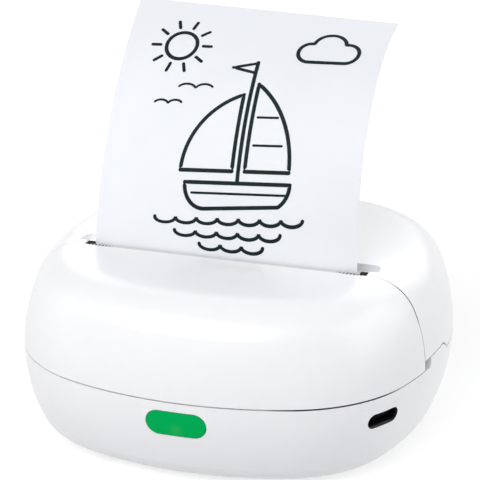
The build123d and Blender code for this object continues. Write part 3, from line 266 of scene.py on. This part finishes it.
class Surface:
    """A procedural material: a shader with fine grain in its colour, roughness and relief."""

    def __init__(self, name, colour, roughness, metallic=0.0, coat=0.0, specular=0.5):
        self.material = bpy.data.materials.new(name)
        self.material.use_nodes = True
        self.tree = self.material.node_tree
        self.shader = self.tree.nodes["Principled BSDF"]
        self.colour = (*colour, 1)
        self.roughness = roughness
        self.normal = None
        self.set("Base Color", self.colour)
        self.set("Roughness", roughness)
        self.set("Metallic", metallic)
        self.set("Specular IOR Level", specular)
        self.set("Coat Weight", coat)
        self.set("Coat Roughness", coat_roughness)
        self.place = self.node("ShaderNodeTexCoord").outputs["Object"]

    def node(self, kind, **values):
        made = self.tree.nodes.new(kind)
        for key, value in values.items():
            setattr(made, key, value)
        return made

    def set(self, socket, value):
        self.shader.inputs[socket].default_value = value

    def link(self, output, target):
        self.tree.links.new(output, target)

    def stretched(self, scale):
        mapping = self.node("ShaderNodeMapping")
        mapping.inputs["Scale"].default_value = scale
        self.link(self.place, mapping.inputs["Vector"])
        return mapping.outputs["Vector"]

    def noise(self, scale, detail=3.0, place=None):
        texture = self.node("ShaderNodeTexNoise")
        texture.inputs["Scale"].default_value = scale
        texture.inputs["Detail"].default_value = detail
        self.link(place or self.place, texture.inputs["Vector"])
        return texture.outputs["Fac"]

    def ranged(self, value, low, high, start=0.3, end=0.7):
        span = self.node("ShaderNodeMapRange")
        span.inputs["From Min"].default_value = start
        span.inputs["From Max"].default_value = end
        span.inputs["To Min"].default_value = low
        span.inputs["To Max"].default_value = high
        self.link(value, span.inputs["Value"])
        return span.outputs["Result"]

    def two_tone(self, value, first, second):
        mix = self.node("ShaderNodeMix", data_type="RGBA")
        self.link(value, mix.inputs["Factor"])
        self.join(first, mix.inputs["A"])
        self.join(second, mix.inputs["B"])
        return mix.outputs["Result"]

    def join(self, value, target):
        """A colour or an output goes to a mix node's colour socket."""
        if isinstance(value, tuple):
            target.default_value = (*value, 1) if len(value) == 3 else value
        else:
            self.link(value, target)

    def paint(self, output):
        self.link(output, self.shader.inputs["Base Color"])

    def mottle(self, scale, spread):
        """Faint cloudiness of the colour."""
        low = tuple(c * (1 - spread) for c in self.colour[:3])
        high = tuple(min(1, c * (1 + spread)) for c in self.colour[:3])
        self.paint(self.two_tone(self.ranged(self.noise(scale), 0, 1), low, high))
        return self

    def uneven_gloss(self, scale, spread):
        """Roughness that varies a little from place to place."""
        rough = self.ranged(self.noise(scale), self.roughness - spread, self.roughness + spread)
        self.link(rough, self.shader.inputs["Roughness"])
        return self

    def relief(self, height, depth, strength=1.0):
        """Raises the surface by a height value, depth in metres."""
        bump = self.node("ShaderNodeBump")
        bump.inputs["Strength"].default_value = strength
        bump.inputs["Distance"].default_value = depth
        self.link(height, bump.inputs["Height"])
        if self.normal:
            self.link(self.normal, bump.inputs["Normal"])
        self.normal = bump.outputs["Normal"]
        self.link(self.normal, self.shader.inputs["Normal"])
        return self

    def soft_edges(self, radius):
        """Rounds the look of sharp edges."""
        bevel = self.node("ShaderNodeBevel", samples=6)
        bevel.inputs["Radius"].default_value = radius
        self.normal = bevel.outputs["Normal"]
        self.link(self.normal, self.shader.inputs["Normal"])
        return self

    def axial(self, axis, centre):
        """Distance from a line along an axis, in metres."""
        away = self.node("ShaderNodeVectorMath", operation="SUBTRACT")
        away.inputs[1].default_value = centre
        self.link(self.place, away.inputs[0])
        flat = self.node("ShaderNodeVectorMath", operation="MULTIPLY")
        flat.inputs[1].default_value = tuple(0.0 if i == axis else 1.0 for i in range(3))
        self.link(away.outputs["Vector"], flat.inputs[0])
        length = self.node("ShaderNodeVectorMath", operation="LENGTH")
        self.link(flat.outputs["Vector"], length.inputs[0])
        return length.outputs["Value"]

    def along(self, direction, centre):
        """Distance from a point along a direction, in metres."""
        away = self.node("ShaderNodeVectorMath", operation="SUBTRACT")
        away.inputs[1].default_value = centre
        self.link(self.place, away.inputs[0])
        dot_product = self.node("ShaderNodeVectorMath", operation="DOT_PRODUCT")
        dot_product.inputs[1].default_value = direction
        self.link(away.outputs["Vector"], dot_product.inputs[0])
        return dot_product.outputs["Value"]

    def calculate(self, operation, first, second=0.0):
        """One number from two, each an output or a plain number."""
        step = self.node("ShaderNodeMath", operation=operation)
        for value, socket in ((first, step.inputs[0]), (second, step.inputs[1])):
            if isinstance(value, float):
                socket.default_value = value
            else:
                self.link(value, socket)
        return step.outputs[0]

    def waves(self, value, pitch):
        """A sine from 0 to 1 of a distance, one wave a pitch."""
        turn = self.calculate("MULTIPLY", value, tau / pitch)
        return self.ranged(self.calculate("SINE", turn), 0, 1, -1, 1)


def moulded(name, colour, roughness, coat=0.0, edge=0.12 * mm):
    """Moulded plastic: very fine spark-eroded grain and uneven gloss."""
    surface = Surface(name, colour, roughness, coat=coat)
    surface.soft_edges(edge)
    surface.mottle(scale=420, spread=0.006)
    surface.uneven_gloss(scale=700, spread=0.02)
    surface.relief(surface.noise(5200, 2), depth=0.006 * mm, strength=0.35)
    return surface


def seam_shadow(surface, seam, limits):
    """1 on the faces inside a seam, within the limits of its shaded stretch."""
    away = surface.calculate("ABSOLUTE", surface.along(*seam))
    shadow = surface.ranged(away, 1, 0, *seam_reach)
    for axis, begin, full in limits:
        part = surface.ranged(surface.along(axis, (0, 0, 0)), 0, 1, begin, full)
        shadow = surface.calculate("MULTIPLY", shadow, part)
    return shadow


def shell_white():
    """White shell, with shade painted on the wall inside the charging opening and into parts of the seams."""
    surface = moulded("shell_white", (0.905, 0.905, 0.915), 0.3, coat=0.15)
    shown = surface.shader.inputs["Base Color"].links[0].from_socket
    # Painted shade in the seams, darker along the body's seam than ahead of the lid
    shown = surface.two_tone(seam_shadow(surface, body_seam, body_seam_shade), shown, body_seam_painted_shade)
    shown = surface.two_tone(seam_shadow(surface, lid_seam, lid_seam_shade), shown, lid_seam_painted_shade)
    # Painted shade on the wall inside the charging opening
    port = next(m for m in frame["record"]["mounts"] if m["name"] == "charging_port")
    out = Vector(port["axis"])
    across = surface.calculate("ABSOLUTE", surface.along(tuple(out.cross((0, 0, 1))), port["pos_m"]))
    past = surface.calculate("MAXIMUM", surface.calculate("SUBTRACT", across, (port_width - port_height) / 2))
    up = surface.along((0, 0, 1), port["pos_m"])
    squares = [surface.calculate("MULTIPLY", value, value) for value in (past, up)]
    away = surface.calculate("SQRT", surface.calculate("ADD", *squares))
    rim = port_height / 2 + port_skin
    inside = surface.ranged(away, 1, 0, rim - port_blend, rim)
    outer_side = surface.ranged(surface.along(tuple(out), (0, 0, 0)), 0, 1, 0, mm)
    wall = surface.calculate("MULTIPLY", inside, outer_side)
    surface.paint(surface.two_tone(wall, shown, port_painted_shade))
    return surface


def tear_edge():
    """Pale bar with shade painted on its points towards both ends."""
    surface = moulded("tear_edge", (0.7, 0.71, 0.72), 0.32, edge=0.03 * mm)
    shown = surface.shader.inputs["Base Color"].links[0].from_socket
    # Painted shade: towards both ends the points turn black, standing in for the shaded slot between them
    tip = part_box("tear_bar")[1].y
    x = surface.along((1, 0, 0), (0, 0, 0))
    y = surface.along((0, 1, 0), (0, tip, 0))
    near_end = surface.ranged(surface.calculate("ABSOLUTE", x), 0, 1, tear_shade_from, tear_shade_to)
    near_tip = surface.ranged(y, 0, 1, -tear_shade_depth - tear_shade_blend, -tear_shade_depth)
    pattern = surface.waves(surface.along((1, 0, 0), (tear_pitch / 4, 0, 0)), tear_pitch)
    points = surface.ranged(pattern, 0, 1, *tear_shade_share)
    dark = surface.calculate("MULTIPLY", surface.calculate("MULTIPLY", near_end, near_tip), points)
    surface.paint(surface.two_tone(dark, shown, black))
    return surface


def brushed(name, colour, roughness, along):
    """Metal with brush marks along one axis."""
    surface = Surface(name, colour, roughness, metallic=1.0)
    surface.soft_edges(0.06 * mm)
    scale = tuple(brush_along if i == along else brush_across for i in range(3))
    marks = surface.noise(1.0, 4, surface.stretched(scale))
    surface.link(surface.ranged(marks, roughness - 0.08, roughness + 0.1), surface.shader.inputs["Roughness"])
    low, high = tuple(c * 0.9 for c in colour), tuple(min(1, c * 1.06) for c in colour)
    surface.paint(surface.two_tone(surface.ranged(marks, 0, 1), low, high))
    surface.relief(marks, depth=0.004 * mm, strength=0.4)
    return surface


def steel():
    return brushed("steel", (0.62, 0.63, 0.65), 0.3, 0)


# Nearly black steel for the socket's shell: painted shade inside the charging opening
def socket_steel_painted_shade():
    return brushed("socket_steel_painted_shade", (0.07, 0.07, 0.074), 0.42, 2)


def screw_steel():
    return brushed("screw_steel", (0.42, 0.43, 0.45), 0.34, 2)


def spring_steel():
    return brushed("spring_steel", (0.66, 0.67, 0.69), 0.22, 1)


def motor_can():
    return brushed("motor_can", (0.68, 0.68, 0.7), 0.33, 0)


def rubber(name, colour, roughness):
    """Rubber: dull, with fine pores and dust in them."""
    surface = Surface(name, colour, roughness, specular=0.35)
    surface.soft_edges(0.15 * mm)
    surface.mottle(scale=240, spread=0.12)
    surface.relief(surface.noise(3800, 4), depth=0.012 * mm, strength=0.6)
    return surface


def rotor_magnet():
    surface = Surface("rotor_magnet", (0.06, 0.06, 0.065), 0.5, metallic=0.6)
    surface.soft_edges(0.1 * mm)
    surface.mottle(scale=800, spread=0.15)
    surface.relief(surface.noise(3000, 4), depth=0.01 * mm, strength=0.5)
    return surface


def foot_rubber():
    return rubber("foot_rubber", (0.3, 0.3, 0.31), 0.75)


def platen_rubber():
    return rubber("platen_rubber", (0.055, 0.055, 0.06), 0.6)


def gear_plastic():
    return moulded("gear_plastic", (0.82, 0.82, 0.76), 0.42, edge=0.04 * mm)


def dark_plastic():
    surface = moulded("dark_plastic", black, 0.6, edge=0.1 * mm)
    surface.set("Specular IOR Level", 0.04)
    return surface


def bushing_plastic():
    return moulded("bushing_plastic", (0.1, 0.1, 0.11), 0.38, edge=0.06 * mm)


def head_sink():
    return brushed("head_sink", (0.74, 0.75, 0.77), 0.36, 0)


def head_ceramic():
    """Glazed ceramic with the dark heater line across it."""
    surface = Surface("head_ceramic", (0.76, 0.7, 0.6), 0.18, coat=0.5)
    surface.mottle(scale=300, spread=0.03)
    low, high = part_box("platen_rubber")
    line_core, line_edge = 0.25 * mm, 0.4 * mm
    away = surface.along((0, 0, 1), (0, 0, (low.z + high.z) / 2))
    band = surface.ranged(surface.calculate("ABSOLUTE", away), 1, 0, line_core, line_edge)
    surface.paint(surface.two_tone(band, (0.76, 0.7, 0.6), (0.09, 0.06, 0.05)))
    return surface


def paper():
    """Coated thermal paper: smooth, faintly blue, with fibres and the roll's windings on its ends."""
    surface = Surface("paper", (0.84, 0.855, 0.885), 0.55, specular=0.25)
    low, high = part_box("paper_roll")
    centre = (low + high) / 2
    fibres = surface.noise(1.0, 5, surface.stretched((700, 2600, 2600)))
    windings = surface.waves(surface.axial(0, tuple(centre)), winding_pitch)
    cloud = surface.ranged(surface.noise(60, 2), 0, 1)
    sheet_tone = surface.two_tone(cloud, (0.825, 0.842, 0.875), (0.85, 0.868, 0.9))
    side = surface.node("ShaderNodeNewGeometry")
    split = surface.node("ShaderNodeSeparateXYZ")
    surface.link(side.outputs["Normal"], split.inputs[0])
    end = surface.ranged(surface.calculate("ABSOLUTE", split.outputs["X"]), 0, 1, 0.85, 0.95)
    wound = surface.two_tone(windings, (0.7, 0.71, 0.73), (0.93, 0.94, 0.95))
    surface.paint(surface.two_tone(end, sheet_tone, wound))
    surface.relief(fibres, depth=0.004 * mm, strength=0.5)
    return surface


def core_card():
    surface = Surface("core_card", (0.46, 0.36, 0.25), 0.85, specular=0.2)
    surface.mottle(scale=420, spread=0.14)
    surface.relief(surface.noise(2600, 5), depth=0.02 * mm, strength=0.6)
    return surface


def button_green():
    """Green translucent cap with a painted glow, a little lighter where the lamp stands behind it."""
    surface = moulded("button_green", (0.0, 0.43, 0.098), 0.5, edge=0.25 * mm)
    surface.set("Specular IOR Level", 0.02)
    low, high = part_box("power_button")
    lamp_height, lamp_core, lamp_edge, falloff = 0.32, 0.2 * mm, 2.2 * mm, 1.6
    spot = ((low.x + high.x) / 2, 0, low.z + (high.z - low.z) * lamp_height)
    near = surface.ranged(surface.axial(1, spot), 1, 0, lamp_core, lamp_edge)
    soft = surface.calculate("POWER", near, falloff)
    surface.paint(surface.two_tone(soft, surface.colour[:3], (0.024, 0.46, 0.112)))
    return surface


def circuit_board():
    """Solder mask over copper lines that run both ways, with round pads."""
    surface = Surface("circuit_board", (0.01, 0.11, 0.05), 0.35, coat=0.3)
    lines = surface.node("ShaderNodeTexBrick")
    lines.inputs["Scale"].default_value = 420
    lines.inputs["Mortar Size"].default_value = 0.06
    lines.inputs["Color1"].default_value = (0.008, 0.09, 0.045, 1)
    lines.inputs["Color2"].default_value = (0.01, 0.11, 0.05, 1)
    lines.inputs["Mortar"].default_value = (0.03, 0.22, 0.09, 1)
    surface.link(surface.place, lines.inputs["Vector"])
    pads = surface.node("ShaderNodeTexVoronoi")
    pads.inputs["Scale"].default_value = 380
    surface.link(surface.place, pads.inputs["Vector"])
    pad = surface.ranged(pads.outputs["Distance"], 1, 0, 0.1, 0.16)
    surface.paint(surface.two_tone(pad, lines.outputs["Color"], (0.6, 0.45, 0.16)))
    surface.relief(lines.outputs["Fac"], depth=0.02 * mm, strength=0.4)
    return surface


def chip_black():
    surface = Surface("chip_black", (0.02, 0.02, 0.022), 0.55)
    surface.soft_edges(0.08 * mm)
    surface.mottle(scale=900, spread=0.2)
    surface.relief(surface.noise(6000, 3), depth=0.008 * mm, strength=0.7)
    return surface


def light_lens():
    surface = Surface("light_lens", (0.75, 0.9, 0.8), 0.25, coat=0.4)
    surface.mottle(scale=700, spread=0.05)
    surface.set("Transmission Weight", 0.5)
    return surface


def battery_wrap():
    """Pouch foil with crumpled sheen."""
    surface = Surface("battery_wrap", (0.6, 0.62, 0.65), 0.34, metallic=0.85)
    surface.soft_edges(0.3 * mm)
    surface.mottle(scale=180, spread=0.05)
    surface.uneven_gloss(scale=260, spread=0.08)
    surface.relief(surface.noise(420, 3), depth=0.06 * mm, strength=0.5)
    return surface


def ribbon_film():
    """Amber film with copper tracks side by side."""
    surface = Surface("ribbon_film", (0.55, 0.26, 0.06), 0.3, coat=0.4)
    tracks = surface.waves(surface.along((1, 0, 0), (0, 0, 0)), track_pitch)
    surface.paint(surface.two_tone(tracks, (0.42, 0.17, 0.03), (0.68, 0.36, 0.12)))
    surface.relief(tracks, depth=0.01 * mm, strength=0.4)
    return surface


def lead_sleeve():
    """Flat four-way lead: a groove between each pair of wires."""
    surface = Surface("lead_sleeve", (0.08, 0.08, 0.3), 0.45)
    wires = surface.waves(surface.along((0, 1, 0), (0, 0, 0)), wire_pitch)
    surface.paint(surface.two_tone(wires, (0.03, 0.03, 0.12), (0.12, 0.12, 0.42)))
    surface.relief(wires, depth=0.1 * mm, strength=0.8)
    return surface


def ink():
    """Thermal print: near black with a green tint, slightly uneven."""
    surface = Surface("ink", (0.006, 0.015, 0.015), 0.6, specular=0.12)
    surface.mottle(scale=2200, spread=0.35)
    surface.uneven_gloss(scale=900, spread=0.06)
    return surface


def dress_nodes():
    """Gives every CAD node the material of its slot."""
    made = {}
    makers = (
        shell_white, tear_edge, steel, screw_steel, spring_steel, motor_can, rotor_magnet, foot_rubber,
        platen_rubber, gear_plastic, dark_plastic, bushing_plastic, head_sink, head_ceramic, paper,
        core_card, button_green, circuit_board, chip_black, light_lens, battery_wrap, ribbon_film,
        lead_sleeve,
    )
    for maker in makers:
        made[maker.__name__] = maker().material
    for entry in frame["record"]["subparts"]:
        piece = nodes[entry["node"]]
        for slot in piece.material_slots:
            slot.material = made[entry["material_slot"]]
    # The socket's shell gets its own dark steel, painted shade inside the charging opening
    for slot in nodes["usb_shell"].material_slots:
        slot.material = socket_steel_painted_shade().material
    return made


def add_spring_coils(material):
    """A copy of the head's springs, on the base, shown in place of the part itself."""
    piece = bpy.data.objects.new("spring_coils", nodes["head_springs"].data.copy())
    bpy.context.scene.collection.objects.link(piece)
    for slot in piece.material_slots:
        slot.material = material
    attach(piece, "base")
    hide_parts("head_springs")
    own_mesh(piece)


def left_edge(part):
    """Place of the paper's left edge; part runs 0 to 1 while it leans and 1 to 2 while it curls."""
    if part <= 1:
        turn = left_turn * part
        return paper_y + left_lean * (1 - cos(turn)), slot_top + left_lean * sin(turn)
    y, z = left_edge(1)
    rest = (left_length - left_turn * left_lean) / left_curl
    turn = left_turn + rest * (part - 1)
    return y + left_curl * (cos(left_turn) - cos(turn)), z + left_curl * (sin(turn) - sin(left_turn))


def right_edge(part):
    """Place of the paper's right edge, which rises straight and then curls."""
    if part <= 1:
        return paper_y, slot_top + right_rise * part
    turn = (right_length - right_rise) / right_curl * (part - 1)
    return paper_y + right_curl * (1 - cos(turn)), slot_top + right_rise + right_curl * sin(turn)


def paper_point(across, along):
    """Place on the paper: millimetres from its middle line and up from the slot."""
    low = (left_turn * left_lean + right_rise) / 2
    whole = (left_length + right_length) / 2
    part = along / low if along < low else 1 + (along - low) / (whole - low)
    share = (across + paper_half) / (2 * paper_half)
    (left_y, left_z), (right_y, right_z) = left_edge(part), right_edge(part)
    return Vector((across, left_y + (right_y - left_y) * share, left_z + (right_z - left_z) * share)) * mm


def paper_front(across, along, lift):
    """Place just ahead of the paper's printed side."""
    step = 0.2
    here = paper_point(across, along)
    over = paper_point(across + step, along) - here
    on = paper_point(across, along + step) - here
    return here + over.cross(on).normalized() * lift * mm


def stroke(mesh, points, width, closed=False):
    """A pen line of even width with round ends along points on the paper."""
    count = len(points)
    sides = []
    for i, point in enumerate(points):
        before = points[(i - 1) % count] if closed or i else point
        after = points[(i + 1) % count] if closed or i < count - 1 else point
        way = (Vector(after) - Vector(before)).normalized()
        side = Vector((-way.y, way.x)) * width / 2
        sides.append((Vector(point) + side, Vector(point) - side))
    lift = paper_face + ink_lift
    rows = [[mesh.verts.new(paper_front(p.x, p.y, lift)) for p in pair] for pair in sides]
    last = count if closed else count - 1
    for i in range(last):
        a, b = rows[i], rows[(i + 1) % count]
        mesh.faces.new((a[1], b[1], b[0], a[0]))
    for i, point in enumerate(points):
        is_end = not closed and i in (0, count - 1)
        into = Vector(point) - Vector(points[i - 1])
        out = Vector(points[(i + 1) % count]) - Vector(point)
        if is_end or into.angle(out, 0) > sharp_turn:
            dot(mesh, point, width / 2)


def dot(mesh, centre, radius, count=14):
    """A filled round spot on the paper."""
    lift = paper_face + spot_lift
    ring = []
    for i in range(count):
        turn = tau * i / count
        x, y = centre[0] + radius * cos(turn), centre[1] + radius * sin(turn)
        ring.append(mesh.verts.new(paper_front(x, y, lift)))
    mesh.faces.new(ring)


def arc(centre, radius, start, end, flat=1.0, steps=36):
    """Points of an arc in degrees, its height multiplied by flat."""
    points = []
    for i in range(steps + 1):
        turn = radians(start + (end - start) * i / steps)
        points.append((centre[0] + radius * cos(turn), centre[1] + radius * sin(turn) * flat))
    return points


def straight(start, end, steps=10):
    """Points of a straight line, so that it follows the paper's curl."""
    a, b = Vector(start), Vector(end)
    return [tuple(a.lerp(b, i / steps)) for i in range(steps + 1)]


def draw_boat(mesh):
    """A sailing boat: hull, mast, two sails and a pennant."""
    keel, deck, mast, bow, stern, end_radius = 10.5, 16.0, 2.0, 9.0, -5.0, 4.5
    hull = straight((stern - end_radius, deck), (bow + end_radius, deck), steps=20)
    hull += arc((bow, deck), end_radius, 0, -60, flat=1.2, steps=10)[1:]
    hull += straight((11.2, keel + 0.8), (stern, keel), steps=14)
    hull += arc((stern, deck), end_radius, 270, 180, flat=(deck - keel) / end_radius, steps=12)[1:-1]
    stroke(mesh, hull, ink_width, closed=True)
    stroke(mesh, straight((-7.8, 13.8), (12.6, 13.8), steps=16), fine_width)
    stroke(mesh, straight((mast, deck), (mast, 42.8), steps=26), ink_width)
    foot, gap = 18.5, 1.4
    main_centre, main_radius, batten_gap = -10.6, 23.6, 1.6
    for centre, radius, way in ((main_centre, main_radius, 1), (6.8, 17.6, -1)):
        luff = mast + way * gap
        peak = degrees(acos((luff - centre) / radius))
        sail = straight((luff, foot), (luff, foot + radius * sin(radians(peak))), steps=20)
        sail += arc((centre, foot), radius, peak, 0 if way > 0 else 180, steps=30)[1:]
        stroke(mesh, sail, ink_width, closed=True)
    for height in (24.0, 30.0):
        leech = main_centre + main_radius * cos(atan2(height - foot, main_radius)) - batten_gap
        stroke(mesh, straight((mast + 2.6, height), (leech, height), steps=8), fine_width)
    fly = (mast - 5.2, 41.4)
    pennant = straight((mast, 42.6), fly, steps=6)
    pennant += straight(fly, (mast, 40.2), steps=6)[1:]
    stroke(mesh, pennant, ink_width * 0.8)


def draw_waves(mesh):
    """Rows of round waves under the hull."""
    radius = 2.3
    for start, count, height in ((-15.5, 7, 8.6), (-11.0, 5, 5.6), (-5.5, 3, 2.8)):
        row = []
        for wave in range(count):
            centre = (start + radius * (2 * wave + 1), height)
            row += arc(centre, radius, 180, 360, flat=0.55, steps=14)
        stroke(mesh, row, ink_width * 0.9)


def crossing(first, second):
    """Angles, seen from each of two circles, of their upper meeting point."""
    (ax, ay, ar), (bx, by, br) = first, second
    span, line = hypot(bx - ax, by - ay), degrees(atan2(by - ay, bx - ax))
    from_a = degrees(acos((ar**2 + span**2 - br**2) / (2 * ar * span)))
    from_b = degrees(acos((br**2 + span**2 - ar**2) / (2 * br * span)))
    return line + from_a, line + 180 - from_b


def draw_sky(mesh):
    """A sun with rays, a cloud and two far gulls."""
    sun, sun_radius, rays, ray_start, ray_end = (-16.0, 46.5), 3.4, 10, 4.8, 6.6
    stroke(mesh, arc(sun, sun_radius, 0, 350, steps=40), ink_width, closed=True)
    for i in range(rays):
        turn = tau * i / rays
        inner = (sun[0] + ray_start * cos(turn), sun[1] + ray_start * sin(turn))
        outer = (sun[0] + ray_end * cos(turn), sun[1] + ray_end * sin(turn))
        stroke(mesh, straight(inner, outer, steps=3), ink_width * 0.85)
    puffs = ((12.6, 46.0, 2.6), (16.4, 48.0, 3.5), (20.4, 46.0, 2.7))
    first, second = crossing(puffs[0], puffs[1]), crossing(puffs[1], puffs[2])
    ends = ((270, first[0]), (first[1], second[0]), (second[1], -90))
    cloud = []
    for (x, y, radius), (start, end) in zip(puffs, ends):
        cloud += arc((x, y), radius, start, end, steps=16)
    stroke(mesh, cloud, ink_width, closed=True)
    for x, y, span in ((-10.5, 36.0, 2.0), (-16.0, 32.5, 1.6)):
        gull = arc((x - span, y), span, 150, 20, flat=0.6, steps=10)
        gull += arc((x + span, y), span, 160, 30, flat=0.6, steps=10)
        stroke(mesh, gull, fine_width)


def add_print(material):
    """The thermal print on the paper: a boat under the sun, lines only."""
    mesh = bmesh.new()
    draw_boat(mesh)
    draw_waves(mesh)
    draw_sky(mesh)
    data = bpy.data.meshes.new("paper_print")
    mesh.to_mesh(data)
    mesh.free()
    data.materials.append(material)
    piece = bpy.data.objects.new("paper_print", data)
    bpy.context.scene.collection.objects.link(piece)
    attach(piece, "base")
    return piece


add_camera()
add_world()
add_floor()
for lamp in lamps:
    area_light(*lamp)
bpy.context.scene.view_settings.view_transform = "Standard"
materials = dress_nodes()
add_spring_coils(materials["spring_steel"])
add_print(ink().material)
